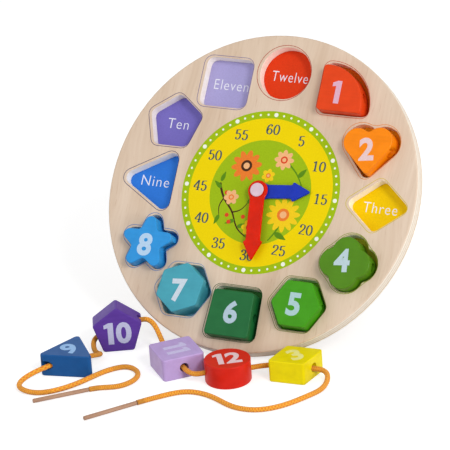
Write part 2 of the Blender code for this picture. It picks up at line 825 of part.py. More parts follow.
def lace():
    cord = material("lace_cord", LACE_ORANGE, 0.8)
    dense = smooth_curve(route_points())
    print("lace length %.4f m" % np.linalg.norm(np.diff(dense, axis=0), axis=1).sum())
    points = thinned(dense, CORD_POINTS)
    curve = bpy.data.curves.new("lace", "CURVE")
    curve.dimensions = "3D"
    curve.bevel_depth = CORD_DIAMETER / 2.0
    curve.bevel_resolution = CORD_RING_STEPS
    curve.use_fill_caps = True
    spline = curve.splines.new("POLY")
    spline.points.add(len(points) - 1)
    for spot, p in zip(spline.points, points):
        spot.co = (p[0], p[1], p[2], 1.0)
    spline.use_smooth = True
    curve.materials.append(cord)
    made = bpy.data.objects.new("lace", curve)
    bpy.context.collection.objects.link(made)


def lace_tip(name, joint, far_end):
    """A wooden rod on the end of the lace, lying on the table."""
    wood = material(name + "_wood", TIP_BROWN, 0.6)
    start = TABLE @ Vector(joint)
    way = TABLE @ Vector((far_end[0], far_end[1], joint[2])) - start
    way.normalize()
    radius = TIP_DIAMETER / 2.0
    rings = rounded_stack(circle(radius), TIP_LENGTH, TIP_ROUND, TIP_ROUND)
    made = solid(name, rings, [], wood)
    turned = way.to_track_quat("Z", "Y").to_matrix().to_4x4()
    made.matrix_world = Matrix.Translation(start + way * SEAT_GAP) @ turned


def main():
    clear_scene()
    front_panel()
    back_panel()
    for which in BLOCKS:
        block(which)
    pin_and_hands()
    lace()
    lace_tip("lace_tip_1", ROUTE[0], FIRST_TIP_END)
    lace_tip("lace_tip_2", ROUTE[-1], SECOND_TIP_END)


main()
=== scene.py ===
# %% [markdown]
# # A wooden lacing clock puzzle
# This lesson dresses the CAD model of a wooden clock puzzle in Blender. The
# CAD model is loaded first as a fixed frame, and every piece that we make is
# placed by it and rides on one of its bodies.

# %% Load the CAD model
import math

import bmesh
import bpy
import numpy as np
from mathutils import Matrix, Vector


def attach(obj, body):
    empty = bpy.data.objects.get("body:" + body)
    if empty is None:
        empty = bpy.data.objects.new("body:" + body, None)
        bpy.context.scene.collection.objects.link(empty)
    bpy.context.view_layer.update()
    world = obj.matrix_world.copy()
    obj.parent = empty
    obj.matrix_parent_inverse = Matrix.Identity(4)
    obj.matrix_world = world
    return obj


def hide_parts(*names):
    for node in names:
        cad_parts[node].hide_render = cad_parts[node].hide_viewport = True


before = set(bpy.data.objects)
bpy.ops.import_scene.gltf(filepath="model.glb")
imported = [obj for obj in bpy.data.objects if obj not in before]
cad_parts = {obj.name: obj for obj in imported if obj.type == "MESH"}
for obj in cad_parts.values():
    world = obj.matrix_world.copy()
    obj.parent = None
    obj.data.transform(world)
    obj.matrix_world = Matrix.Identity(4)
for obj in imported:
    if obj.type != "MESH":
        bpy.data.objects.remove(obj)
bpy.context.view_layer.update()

print("loaded", len(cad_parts), "nodes")

# %% [markdown]
# ## Places
# The board leans back, so most of its print and its blocks are easier to place
# in a frame of its own: X to the board's right, Y towards the twelve and Z out
# of the face. Everything on the table is placed from the lowest point of the
# board. Both frames are matrices, and a piece is moved by one of them once,
# inside its mesh, so that its object stays at the origin.

# %% Frames of the board and the table
LEAN = math.radians(38.2)
DIAL_CENTRE = (0.0, -0.070, 0.013)
LOWEST_POINT = (0.0, -0.12997, -0.16485)
BOARD = Matrix.Rotation(math.pi / 2 - LEAN, 4, "X") @ Matrix.Translation(DIAL_CENTRE)
TABLE = Matrix.Translation(LOWEST_POINT)
DIAL_RADIUS = 0.0718
FACE_OUT = (BOARD.to_3x3() @ Vector((0.0, 0.0, 1.0))).normalized()
print("the face looks along", [round(c, 3) for c in FACE_OUT])

# %% [markdown]
# ## Camera
# The picture is taken with a long lens from the front right and a little above,
# so lines that are parallel stay nearly parallel. The camera's three axes are
# written as rows, as they were measured, and turned into its matrix. An object
# shows only once it is linked to the scene, so one function makes and links it.

# %% Objects in the scene
def new_object(name, data):
    """An object in the scene that holds the given data."""
    made = bpy.data.objects.new(name, data)
    bpy.context.scene.collection.objects.link(made)
    return made


# %% Camera
RIGHT = Vector((0.90787, 0.41433, -0.06407))
DOWN = Vector((0.11107, -0.38504, -0.91619))
AHEAD = Vector((-0.40427, 0.82467, -0.39559))
STANDPOINT = (1.0023, -2.0397, 1.0984)
LENS = 240.0
SENSOR_WIDTH = 36.0
turned = Matrix((RIGHT, -DOWN, -AHEAD)).transposed().to_4x4()
camera_data = bpy.data.cameras.new("camera")
camera_data.lens = LENS
camera_data.sensor_width = SENSOR_WIDTH
camera = new_object("camera", camera_data)
camera.matrix_world = TABLE @ Matrix.Translation(STANDPOINT) @ turned
bpy.context.scene.camera = camera
print("camera stands at", [round(c, 3) for c in camera.matrix_world.translation])

# %% [markdown]
# ## Small helpers
# Shader nodes are easier to read when one call makes a node, sets its values
# and links what feeds it. The colours are written as they look on screen, from
# 0 to 255, and turned into the linear values that the shaders expect.

# %% Node and colour helpers
def linear(colour):
    """A screen colour as linear red, green, blue and alpha."""
    shares = [c / 255.0 for c in colour]
    return tuple(s / 12.92 if s <= 0.04045 else ((s + 0.055) / 1.055) ** 2.4 for s in shares) + (1.0,)


def feed(tree, sockets, values):
    """Link or set each of the named sockets."""
    for key, value in values.items():
        if isinstance(value, bpy.types.NodeSocket):
            tree.links.new(value, sockets[key])
        else:
            sockets[key].default_value = value


def add_node(tree, kind, inputs=None, **settings):
    """A new node with its settings, input values and links."""
    made = tree.nodes.new(kind)
    for key, value in settings.items():
        setattr(made, key, value)
    feed(tree, made.inputs, inputs or {})
    return made


def calculate(tree, operation, *values):
    """The result of a Math node."""
    return add_node(tree, "ShaderNodeMath", dict(enumerate(values)), operation=operation).outputs[0]


def mix_colours(tree, share, first, second, blend="MIX"):
    """The result of a colour Mix node."""
    inputs = {0: share, 6: first, 7: second}
    return add_node(tree, "ShaderNodeMix", inputs, data_type="RGBA", blend_type=blend).outputs[2]


def spread(tree, value, low, high, new_low=0.0, new_high=1.0):
    """A value taken from one range to another and kept inside it."""
    inputs = {"Value": value, "From Min": low, "From Max": high, "To Min": new_low, "To Max": new_high}
    return add_node(tree, "ShaderNodeMapRange", inputs).outputs["Result"]


def noise(tree, where, scale, detail):
    """The outputs of a noise, which is stretched when its scale has three values."""
    if isinstance(scale, tuple):
        where = add_node(tree, "ShaderNodeMapping", {"Vector": where, "Scale": scale}).outputs[0]
        scale = 1.0
    return add_node(tree, "ShaderNodeTexNoise", {"Vector": where, "Scale": scale, "Detail": detail}).outputs


def bump(tree, height, distance, strength=1.0):
    """The normal of a surface with a fine relief."""
    inputs = {"Height": height, "Distance": distance, "Strength": strength}
    return add_node(tree, "ShaderNodeBump", inputs).outputs[0]


def new_material(name):
    """A material with its node tree and its shader."""
    made = bpy.data.materials.new(name)
    made.use_nodes = True
    return made, made.node_tree, made.node_tree.nodes["Principled BSDF"]


def new_group(name, inputs, outputs):
    """An empty shader group with named inputs and outputs."""
    group = bpy.data.node_groups.new(name, "ShaderNodeTree")
    for title, kind, default in inputs:
        socket = group.interface.new_socket(name=title, in_out="INPUT", socket_type=kind)
        if default is not None:
            socket.default_value = default
    for title, kind in outputs:
        group.interface.new_socket(name=title, in_out="OUTPUT", socket_type=kind)
    start = group.nodes.new("NodeGroupInput")
    end = group.nodes.new("NodeGroupOutput")
    return group, start.outputs, end.inputs


FINISH_OUTPUTS = [
    ("Color", "NodeSocketColor"), ("Roughness", "NodeSocketFloat"), ("Height", "NodeSocketFloat"),
]
print("helpers are ready")

# %% [markdown]
# ## Wood grain
# Birch plywood has long fine fibres that run one way, wide soft streaks of a
# warmer and a paler tone, and short dark pores. All three are noise that is
# stretched along the fibres. The same group colours the board's faces and the
# wooden tips of the lace, each with its own tones and scale, so it is built once.

# %% Wood grain group
STREAK_SCALE = (46.0, 3.2, 46.0)
FIBRE_SCALE = (520.0, 14.0, 520.0)
PORE_SCALE = (900.0, 55.0, 900.0)
WANDER_SCALE = 14.0
WANDER = (0.012, 0.0, 0.012)
FIBRE_DEPTH = 0.34
PORE_DEPTH = 0.30
FIBRE_ROUGHNESS = 0.12
grain, g_in, g_out = new_group(
    "wood_grain",
    [
        ("Vector", "NodeSocketVector", None),
        ("Light", "NodeSocketColor", linear((232, 212, 192))),
        ("Dark", "NodeSocketColor", linear((206, 176, 150))),
        ("Scale", "NodeSocketFloat", 1.0),
        ("Polish", "NodeSocketFloat", 0.45),
    ],
    FINISH_OUTPUTS,
)
place = add_node(
    grain, "ShaderNodeVectorMath", {0: g_in["Vector"], "Scale": g_in["Scale"]}, operation="SCALE"
).outputs[0]
wander = noise(grain, place, WANDER_SCALE, 2.0)["Color"]
bent = add_node(
    grain, "ShaderNodeVectorMath", {0: wander, 1: WANDER, 2: place}, operation="MULTIPLY_ADD"
).outputs[0]
streaks = noise(grain, bent, STREAK_SCALE, 3.0)["Fac"]
fibres = noise(grain, bent, FIBRE_SCALE, 3.0)["Fac"]
pores = noise(grain, bent, PORE_SCALE, 1.0)["Fac"]
pore_mask = spread(grain, pores, 0.66, 0.76)
streak_share = spread(grain, streaks, 0.30, 0.72)
fibre_share = spread(grain, fibres, 0.30, 0.75, 0.0, 0.55)
tone = mix_colours(grain, streak_share, g_in["Light"], g_in["Dark"])
deeper = mix_colours(grain, 1.0, tone, g_in["Dark"], "MULTIPLY")
with_fibres = mix_colours(grain, calculate(grain, "MULTIPLY", fibre_share, FIBRE_DEPTH), tone, deeper)
with_pores = mix_colours(grain, calculate(grain, "MULTIPLY", pore_mask, PORE_DEPTH), with_fibres, deeper)
rough = calculate(grain, "MULTIPLY_ADD", fibre_share, FIBRE_ROUGHNESS, g_in["Polish"])
height = calculate(grain, "SUBTRACT", fibres, pore_mask)
feed(grain, g_out, {"Color": with_pores, "Roughness": rough, "Height": height})
print("wood grain has", len(grain.nodes), "nodes")

# %% [markdown]
# ## Paint over wood
# The blocks are dipped in a bright paint that is thin enough for the wood below
# to show through a little: the fibres ripple the gloss, and the colour is
# slightly deeper where the paint sinks in. The group takes the paint's colour
# and how much of the wood shows.

# %% Painted wood group
PAINT_FIBRE_SCALE = (26.0, 420.0, 420.0)
CLOUD_SCALE = 95.0
PEEL_SCALE = 900.0
SUNK_TINT = (0.58, 0.58, 0.62, 1.0)
THICK_TINT = (0.90, 0.88, 0.90, 1.0)
coat, c_in, c_out = new_group(
    "painted_wood",
    [
        ("Vector", "NodeSocketVector", None),
        ("Paint", "NodeSocketColor", (1.0, 0.0, 0.0, 1.0)),
        ("Show", "NodeSocketFloat", 0.5),
    ],
    FINISH_OUTPUTS,
)
fibres = noise(coat, c_in["Vector"], PAINT_FIBRE_SCALE, 3.0)["Fac"]
cloud = noise(coat, c_in["Vector"], CLOUD_SCALE, 2.0)["Fac"]
peel = noise(coat, c_in["Vector"], PEEL_SCALE, 1.0)["Fac"]
deep = mix_colours(coat, 1.0, c_in["Paint"], SUNK_TINT, "MULTIPLY")
thick = mix_colours(coat, 1.0, c_in["Paint"], THICK_TINT, "MULTIPLY")
sunk = calculate(coat, "MULTIPLY", spread(coat, fibres, 0.40, 0.78), c_in["Show"])
clouded = mix_colours(coat, spread(coat, cloud, 0.35, 0.75), c_in["Paint"], thick)
feed(coat, c_out, {
    "Color": mix_colours(coat, sunk, clouded, deep),
    "Roughness": spread(coat, cloud, 0.3, 0.7, 0.30, 0.40),
    "Height": calculate(coat, "MULTIPLY_ADD", peel, 0.4, fibres),
})
print("painted wood has", len(coat.nodes), "nodes")

# %% [markdown]
# ## Finishes from the groups
# Wood and paint are fed from the groups, and each material keeps its own
# Principled shader. Printed ink is so even that one noise is enough for it. A
# Mapping node of the kind Texture takes a point of the object back into the
# board's or the block's own frame, so the grain follows the piece.

# %% Material makers
BUMP_STRENGTH = 0.6
VENEER_RELIEF = 0.00008
DOWEL_RELIEF = 0.00012
PAINT_RELIEF = 0.00003
INK_MOTTLE_SCALE = 700.0


def start_material(name, frame_matrix):
    """A material with its shader and the place of each point in the given frame."""
    made, tree, shader = new_material(name)
    inputs = {
        "Vector": add_node(tree, "ShaderNodeTexCoord").outputs["Object"],
        "Location": frame_matrix.translation,
        "Rotation": frame_matrix.to_euler(),
    }
    where = add_node(tree, "ShaderNodeMapping", inputs, vector_type="TEXTURE").outputs[0]
    return made, tree, shader, where


def use_group(tree, shader, group, inputs, relief):
    """Feed a shader from one of the finish groups, and give the group's colour."""
    made = add_node(tree, "ShaderNodeGroup", inputs, node_tree=group).outputs
    feed(tree, shader.inputs, {
        "Base Color": made["Color"],
        "Roughness": made["Roughness"],
        "Normal": bump(tree, made["Height"], relief, BUMP_STRENGTH),
    })
    return made["Color"]


def birch(name, light, dark, scale, polish, frame_matrix):
    """Bare wood with its grain along the frame's Y axis."""
    made, tree, shader, where = start_material(name, frame_matrix)
    values = {"Vector": where, "Light": linear(light), "Dark": linear(dark), "Scale": scale, "Polish": polish}
    use_group(tree, shader, grain, values, DOWEL_RELIEF)
    return made


def painted(name, colour, show=0.14, frame_matrix=BOARD):
    """Bright paint with a thin clear coat."""
    made, tree, shader, where = start_material(name, frame_matrix)
    use_group(tree, shader, coat, {"Vector": where, "Paint": linear(colour), "Show": show}, PAINT_RELIEF)
    feed(tree, shader.inputs, {"Specular IOR Level": 0.12, "Coat Weight": 0.05, "Coat Roughness": 0.15})
    return made


def printed(name, colour, wear=0.10, frame_matrix=BOARD):
    """Screen-printed ink: nearly even, with a faint mottle and a dull sheen."""
    made, tree, shader, where = start_material(name, frame_matrix)
    mottle = noise(tree, where, INK_MOTTLE_SCALE, 3.0)["Fac"]
    thin = [c * (1.0 - wear) for c in linear(colour)[:3]] + [1.0]
    feed(tree, shader.inputs, {
        "Base Color": mix_colours(tree, spread(tree, mottle, 0.35, 0.75), linear(colour), thin),
        "Roughness": spread(tree, mottle, 0.3, 0.7, 0.48, 0.62),
        "Specular IOR Level": 0.08,
    })
    return made


print("material makers are ready")

# %% [markdown]
# ## Making pieces
# A bmesh is turned into a mesh, moved by a frame and hung on its body. Where the
# CAD solid already has the right shape, a merged copy of it stands for it:
# the copy is shaded smoothly over its rounded edges, and a Weighted Normal
# modifier keeps the flat faces looking flat.

# %% Piece helpers
MERGE_DISTANCE = 0.000004
FLAT_ANGLE = math.radians(0.5)
SMOOTH_ANGLE = 50.0


def settle(bm, name, body, materials, where=None, smooth=None):
    """Turn a bmesh into a piece that rides on a body."""
    mesh = bpy.data.meshes.new(name)
    if where is not None:
        bmesh.ops.transform(bm, matrix=where, verts=bm.verts)
    bm.to_mesh(mesh)
    bm.free()
    for one in materials:
        mesh.materials.append(one)
    if smooth is not None:
        mesh.shade_smooth()
        mesh.set_sharp_from_angle(angle=math.radians(smooth))
    made = new_object(name, mesh)
    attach(made, body)
    return made


def merged_copy(node):
    """A bmesh with the merged surface of a CAD node."""
    bm = bmesh.new()
    bm.from_mesh(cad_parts[node].data)
    bmesh.ops.remove_doubles(bm, verts=bm.verts, dist=MERGE_DISTANCE)
    for face in bm.faces:
        face.material_index = 0
    return bm


def smooth_stand_in(node, name, body, material):
    """A smoothly shaded piece in the shape of a CAD node."""
    bm = merged_copy(node)
    bmesh.ops.dissolve_limit(bm, angle_limit=FLAT_ANGLE, verts=bm.verts, edges=bm.edges)
    made = settle(bm, name, body, [material], smooth=SMOOTH_ANGLE)
    even = made.modifiers.new("even_flats", "WEIGHTED_NORMAL")
    even.keep_sharp = True
    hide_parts(node)
    return made


def raise_faces(bm, faces, height):
    """Give flat faces a thickness upwards."""
    raised = bmesh.ops.extrude_face_region(bm, geom=faces)
    moved = [e for e in raised["geom"] if isinstance(e, bmesh.types.BMVert)]
    bmesh.ops.translate(bm, verts=moved, vec=(0.0, 0.0, height))
    bmesh.ops.recalc_face_normals(bm, faces=bm.faces)


def add_disc(bm, place, radius, segments):
    """Add a filled circle to a bmesh."""
    where = Matrix.Translation(place)
    bmesh.ops.create_circle(bm, cap_ends=True, segments=segments, radius=radius, matrix=where)


def join_to(whole, bm):
    """Add a bmesh to another one and free it."""
    part = bpy.data.meshes.new("part")
    bm.to_mesh(part)
    bm.free()
    whole.from_mesh(part)
    bpy.data.meshes.remove(part)


def dress(node, material):
    """Give a CAD node one material."""
    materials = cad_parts[node].data.materials
    materials.clear()
    materials.append(material)


print("piece helpers are ready")

# %% [markdown]
# ## Lace
# The lace is a soft braided cord of 4.4 mm that runs from one wooden tip through
# five blocks to the other tip. A natural spline through a few dozen measured
# points gives a smooth line, and a bevelled curve along it gives the round
# cord. Its UV map runs along and round the cord, so the braid can follow it.

# %% Route of the lace
ROUTE = [
    (-0.0851, -0.0971, 0.0022), (-0.0781, -0.0920, 0.0022), (-0.0659, -0.0858, 0.0022),
    (-0.0578, -0.0742, 0.0022), (-0.0598, -0.0574, 0.0022), (-0.0735, -0.0500, 0.0022),
    (-0.0838, -0.0575, 0.0022), (-0.0949, -0.0792, 0.0022), (-0.1141, -0.1102, 0.0024),
    (-0.1269, -0.1162, 0.0023), (-0.1408, -0.1138, 0.0036), (-0.1306, -0.0784, 0.0087),
    (-0.1122, -0.0567, 0.0087), (-0.1048, -0.0474, 0.0074), (-0.1038, -0.0391, 0.0049),
    (-0.1126, -0.0311, 0.0025), (-0.1164, -0.0222, 0.0098), (-0.1115, -0.0184, 0.0126),
    (-0.0851, -0.0044, 0.0224), (-0.0774, -0.0018, 0.0239), (-0.0578, -0.0128, 0.0112),
    (-0.0429, -0.0271, 0.0087), (-0.0223, -0.0475, 0.0087), (-0.0075, -0.0555, 0.0080),
    (0.0030, -0.0498, 0.0087), (0.0298, -0.0343, 0.0087), (0.0420, -0.0250, 0.0085),
    (0.0558, -0.0201, 0.0087), (0.0796, -0.0187, 0.0087), (0.0933, -0.0182, 0.0072),
    (0.0994, -0.0346, 0.0029), (0.0943, -0.0518, 0.0023), (0.0807, -0.0752, 0.0022),
    (0.0615, -0.0902, 0.0023), (0.0440, -0.0906, 0.0022), (0.0195, -0.0797, 0.0022),
    (-0.0055, -0.0771, 0.0022), (-0.0220, -0.0903, 0.0022), (-0.0320, -0.1020, 0.0022),
    (-0.0361, -0.1072, 0.0022),
]
CORD_DIAMETER = 0.0044


def smooth_line(points, steps=16):
    """A natural cubic spline through the points."""
    p = np.array(points)
    gaps = np.linalg.norm(np.diff(p, axis=0), axis=1)
    system = np.eye(len(p))
    right = np.zeros((len(p), 3))
    for i in range(1, len(p) - 1):
        system[i, i - 1:i + 2] = gaps[i - 1], 2 * (gaps[i - 1] + gaps[i]), gaps[i]
        right[i] = 6 * ((p[i + 1] - p[i]) / gaps[i] - (p[i] - p[i - 1]) / gaps[i - 1])
    bend = np.linalg.solve(system, right)
    line = []
    for i, gap in enumerate(gaps):
        for t in np.linspace(0.0, 1.0, steps, endpoint=False):
            s = 1 - t
            bow = (s ** 3 - s) * bend[i] + (t ** 3 - t) * bend[i + 1]
            line.append(s * p[i] + t * p[i + 1] + bow * gap ** 2 / 6)
    return np.array(line + [p[-1]])


lace_line = smooth_line([TABLE @ Vector(p) for p in ROUTE])
lace_length = np.linalg.norm(np.diff(lace_line, axis=0), axis=1).sum()
print("the lace is %.0f mm long" % (lace_length * 1000))

# %% [markdown]
# The braid is drawn by two families of slanted ribs that cross each other. On
# the UV map they are two sine waves, one leaning each way, and the higher of
# the two is the strand on top. The same waves bump the strands, and they paint
# the crests lighter and the grooves between them darker: painted highlight and
# painted shade.

# %% Braided cord material
BRAID_PITCH = 0.0021
BRAID_TURNS = 3.0
BRAID_RELIEF = 0.0007
FUZZ_SCALE = 1400.0
lace_cord, tree, shader = new_material("lace_cord")
uv = add_node(tree, "ShaderNodeUVMap", uv_map="UVMap").outputs[0]
apart = add_node(tree, "ShaderNodeSeparateXYZ", {0: uv}).outputs
along = calculate(tree, "MULTIPLY", apart["X"], lace_length / BRAID_PITCH)
around = calculate(tree, "MULTIPLY", apart["Y"], BRAID_TURNS)
waves = []
for sense in ("ADD", "SUBTRACT"):
    turns = calculate(tree, sense, along, around)
    wave = calculate(tree, "SINE", calculate(tree, "MULTIPLY", turns, 2 * math.pi))
    waves.append(calculate(tree, "MULTIPLY_ADD", wave, 0.5, 0.5))
strand = calculate(tree, "MAXIMUM", *waves)
fuzz = noise(tree, add_node(tree, "ShaderNodeTexCoord").outputs["Object"], FUZZ_SCALE, 2.0)["Fac"]
fuzz_share = spread(tree, fuzz, 0.4, 0.8, 0.0, 0.25)
# Painted light: the crests of the strands take the lighter orange and the grooves the darker one.
painted_crest_light = mix_colours(tree, strand, linear((252, 119, 16)), linear((255, 178, 46)))
rise = calculate(tree, "MULTIPLY_ADD", fuzz, 0.25, strand)
feed(tree, shader.inputs, {
    "Base Color": mix_colours(tree, fuzz_share, painted_crest_light, linear((255, 200, 90))),
    "Roughness": 0.78,
    "Sheen Weight": 0.08,
    "Normal": bump(tree, rise, BRAID_RELIEF),
})
print("lace material is ready")

# %% Lace as a round cord
cord_curve = bpy.data.curves.new("lace_cord", "CURVE")
cord_curve.dimensions = "3D"
cord_curve.bevel_depth = CORD_DIAMETER / 2
cord_curve.bevel_resolution = 4
cord_curve.use_fill_caps = True
line = cord_curve.splines.new("POLY")
line.points.add(len(lace_line) - 1)
for point, place in zip(line.points, lace_line):
    point.co = (*place, 1.0)
line.use_smooth = True
cord_curve.materials.append(lace_cord)
lace = new_object("lace_cord", cord_curve)
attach(lace, "lace_set")
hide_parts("lace")
print("the lace follows", len(lace_line), "points")

# %% [markdown]
# ## Lace tips
# Thin dowels of bare wood stiffen both ends of the lace so that a child can
# thread it. The CAD rods have the right shape, so they only get a finish,
# with the grain turned along each rod.

# %% Wood on the lace tips
TIPS = {
    "lace_tip_1": ((-0.0851, -0.0971, 0.0022), (-0.1202, -0.1301, 0.0022)),
    "lace_tip_2": ((-0.0361, -0.1072, 0.0022), (-0.0654, -0.1455, 0.0022)),
}
for node, (joint, end) in TIPS.items():
    way = (Vector(end) - Vector(joint)).normalized()
    lay = Matrix.Translation(TABLE @ Vector(joint)) @ way.to_track_quat("Y", "Z").to_matrix().to_4x4()
    wood = birch(node + "_dowel", (208, 164, 134), (126, 84, 58), scale=2.2, polish=0.55, frame_matrix=lay)
    dress(node, wood)
print("two tips have their wood")

# %% [markdown]
# ## Board
# The front is a plywood disc with twelve openings, glued to a thin plywood back.
# Its face is varnished birch veneer. Round the rim the cut edge shows the plies
# as pale and dark layers. Inside the openings the cut wood is pale, and its
# colour is pushed to near white as painted light on the recess walls. So the
# material asks which way the surface looks, compared with the board's own Z
# axis, and how far it is from the middle of the board.

# %% Plywood material
PLY_THICKNESS = 0.0034
PLY_WAVE = 0.0004
GRIT_SCALE = 160.0
RIM_START = 0.1380
RIM_BLEND = 0.0002


def plywood(name, light, dark, polish):
    """Veneer on the faces, plies round the rim, and in the cut openings pale wood pushed to near white as
    painted light.
    """
    made, tree, shader, where = start_material(name, BOARD)
    values = {"Vector": where, "Light": linear(light), "Dark": linear(dark), "Scale": 1.0, "Polish": polish}
    veneer = use_group(tree, shader, grain, values, VENEER_RELIEF)
    normal = add_node(tree, "ShaderNodeNewGeometry").outputs["Normal"]
    facing = add_node(tree, "ShaderNodeVectorMath", {0: normal, 1: FACE_OUT}, operation="DOT_PRODUCT")
    cut = spread(tree, calculate(tree, "ABSOLUTE", facing.outputs["Value"]), 0.75, 0.35)
    grit = noise(tree, where, GRIT_SCALE, 2.0)["Fac"]
    # The walls of the openings: pale cut wood, pushed to near white as painted light.
    sawn_and_painted_light = mix_colours(tree, spread(tree, grit, 0.3, 0.7), linear((255, 249, 240)), linear((251, 240, 226)))
    apart = add_node(tree, "ShaderNodeSeparateXYZ", {0: where}).outputs
    flat = add_node(tree, "ShaderNodeCombineXYZ", {"X": apart["X"], "Y": apart["Y"]})
    far = add_node(tree, "ShaderNodeVectorMath", {0: flat.outputs[0]}, operation="LENGTH").outputs["Value"]
    rim = spread(tree, far, RIM_START, RIM_START + RIM_BLEND)
    wavy = calculate(tree, "MULTIPLY_ADD", grit, PLY_WAVE, apart["Z"])
    layer = calculate(tree, "FRACT", calculate(tree, "MULTIPLY", wavy, 1.0 / PLY_THICKNESS))
    off_middle = calculate(tree, "ABSOLUTE", calculate(tree, "SUBTRACT", layer, 0.5))
    between = spread(tree, off_middle, 0.22, 0.30)
    plies = mix_colours(tree, between, linear((250, 240, 226)), linear((234, 216, 194)))
    sides = mix_colours(tree, rim, sawn_and_painted_light, plies)
    colour = mix_colours(tree, cut, veneer, sides)
    feed(tree, shader.inputs, {"Base Color": colour, "Specular IOR Level": 0.35})
    return made


# %% Front and back of the board
front_birch = plywood("front_birch_veneer", (230, 209, 188), (212, 187, 162), 0.46)
back_birch = plywood("back_birch_veneer", (224, 203, 178), (200, 172, 144), 0.55)
front_board = smooth_stand_in("front_panel", "front_board", "board", front_birch)
back_board = smooth_stand_in("back_panel", "back_board", "board", back_birch)
print("board pieces:", len(front_board.data.polygons), len(back_board.data.polygons), "faces")

# %% [markdown]
# ## Outlines of the recesses
# The printed lines and the coloured recess floors follow the openings, so we
# read each opening's rim from the CAD front panel: the edges of its top face
# that border the walls, gathered into closed loops.

# %% Read the recess rims
def rims_at_top():
    """Closed loops of points round the holes in the panel's face, in the board's frame."""
    bm = merged_copy("front_panel")
    bmesh.ops.transform(bm, matrix=BOARD.inverted(), verts=bm.verts)
    top = {f for f in bm.faces if f.normal.z > 0.99 and f.calc_center_median().z > -0.0001}
    border = [e for e in bm.edges if len([f for f in e.link_faces if f in top]) == 1]
    steps = {}
    for edge in border:
        a, b = edge.verts
        steps.setdefault(a, []).append(b)
        steps.setdefault(b, []).append(a)
    loops = []
    seen = set()
    for start in steps:
        if start in seen:
            continue
        loop = [start]
        seen.add(start)
        while True:
            onward = [v for v in steps[loop[-1]] if v not in seen]
            if not onward:
                break
            loop.append(onward[0])
            seen.add(onward[0])
        loops.append([v.co.copy() for v in loop])
    bm.free()
    return loops


def anticlockwise(loop):
    """The loop, turned round where it runs clockwise."""
    area = sum(a.x * b.y - b.x * a.y for a, b in zip(loop, loop[1:] + loop[:1]))
    return loop if area > 0.0 else list(reversed(loop))


# %% Name each rim by its hour
HOURS_FROM, HOURS_TO = 0.05, 0.12
recess_rims = {}
for loop in rims_at_top():
    centre = sum(loop, Vector()) / len(loop)
    if HOURS_FROM < centre.length < HOURS_TO:
        hour = round((math.pi / 2 - math.atan2(centre.y, centre.x)) / (math.pi / 6)) % 12 or 12
        recess_rims[hour] = anticlockwise(loop)
print("recesses found:", sorted(recess_rims))

# %% [markdown]
# ## Recess floors
# The bottom of each recess is printed in the colour of its block, and the
# empty ones carry the number as a word. A floor is a face over the rim's
# points, grown a little so that it tucks under the front panel, and raised by a
# film's thickness.

# %% Floors
FLOOR_COLOURS = {
    1: (235, 125, 25), 2: (250, 165, 20), 3: (244, 202, 0), 4: (190, 190, 40), 5: (110, 175, 40),
    6: (60, 130, 60), 7: (120, 185, 215), 8: (40, 130, 215), 9: (50, 124, 222), 10: (122, 112, 195),
    11: (173, 166, 218), 12: (226, 62, 22),
}
FLOOR_TOP = -0.0103
FLOOR_GROWTH = 1.02
FLOOR_FILM = 0.00010
INK_LIFT = 0.00002
for hour, loop in recess_rims.items():
    bm = bmesh.new()
    centre = sum(loop, Vector()) / len(loop)
    face = bm.faces.new([bm.verts.new((p.x, p.y, FLOOR_TOP + INK_LIFT)) for p in loop])
    middle = Matrix.Translation((centre.x, centre.y, 0.0))
    growth = (FLOOR_GROWTH, FLOOR_GROWTH, 1.0)
    bmesh.ops.scale(bm, vec=growth, space=middle.inverted(), verts=bm.verts)
    raise_faces(bm, [face], FLOOR_FILM)
    ink = printed("floor_ink_%d" % hour, FLOOR_COLOURS[hour])
    settle(bm, "recess_floor_%d" % hour, "board", [ink], where=BOARD)
print(len(recess_rims), "floors printed")

# %% [markdown]
# ## Printed lines round the recesses
# A thin coloured line runs round every recess a little outside the cut. Round
# the fourth, fifth and sixth recesses a second line of the same ink, close to
# the cut, is painted shade along the rim's edge. Each of the rim's points moves
# outwards, by the same distance from both edges that meet there, and a flat
# ribbon follows the new loop. Points that fold over one another in an inner
# corner, such as the heart's notch, are left out.

# %% Lines
LINE_COLOURS = {
    1: (196, 74, 44), 2: (226, 140, 60), 3: (212, 190, 50), 4: (136, 150, 40), 5: (110, 120, 46),
    6: (40, 80, 44), 7: (104, 140, 190), 8: (60, 116, 184), 9: (40, 52, 104), 10: (70, 54, 112),
    11: (122, 108, 156), 12: (176, 50, 36),
}
LINE_OFFSET = 0.0012
RIM_SHADE_OFFSET = 0.0003
LINE_WIDTH = 0.00048
INK_FILM = 0.00003
PRINT_SHIFT = Vector((-0.0011, 0.0001, 0.0))
LEAST_SHARE = 0.3
FOLD_SHARE = 0.97


def grown(loop, distance):
    """The loop moved outwards, without the points that an inner corner folds over."""
    moved = []
    for i, point in enumerate(loop):
        before = (point - loop[i - 1]).normalized()
        after = (loop[(i + 1) % len(loop)] - point).normalized()
        out = Vector((before.y + after.y, -before.x - after.x, 0.0)).normalized()
        share = max(LEAST_SHARE, out.dot(Vector((after.y, -after.x, 0.0))))
        moved.append(point + out * distance / share)
    return [q for q in moved if all((q - p).length > distance * FOLD_SHARE for p in loop)]


def ribbon(bm, points, widths, z, closed=False):
    """A flat strip along a line, with a width at each point."""
    count = len(points)
    sides = []
    for i, point in enumerate(points):
        before = points[i - 1] if closed or i else point
        after = points[(i + 1) % count] if closed or i < count - 1 else point
        way = (after - before).normalized()
        across = Vector((-way.y, way.x, 0.0)) * widths[i] / 2
        middle = Vector((point.x, point.y, z))
        sides.append((bm.verts.new(middle + across), bm.verts.new(middle - across)))
    for i in range(count if closed else count - 1):
        (a, b), (c, d) = sides[i], sides[(i + 1) % count]
        bm.faces.new((b, d, c, a))


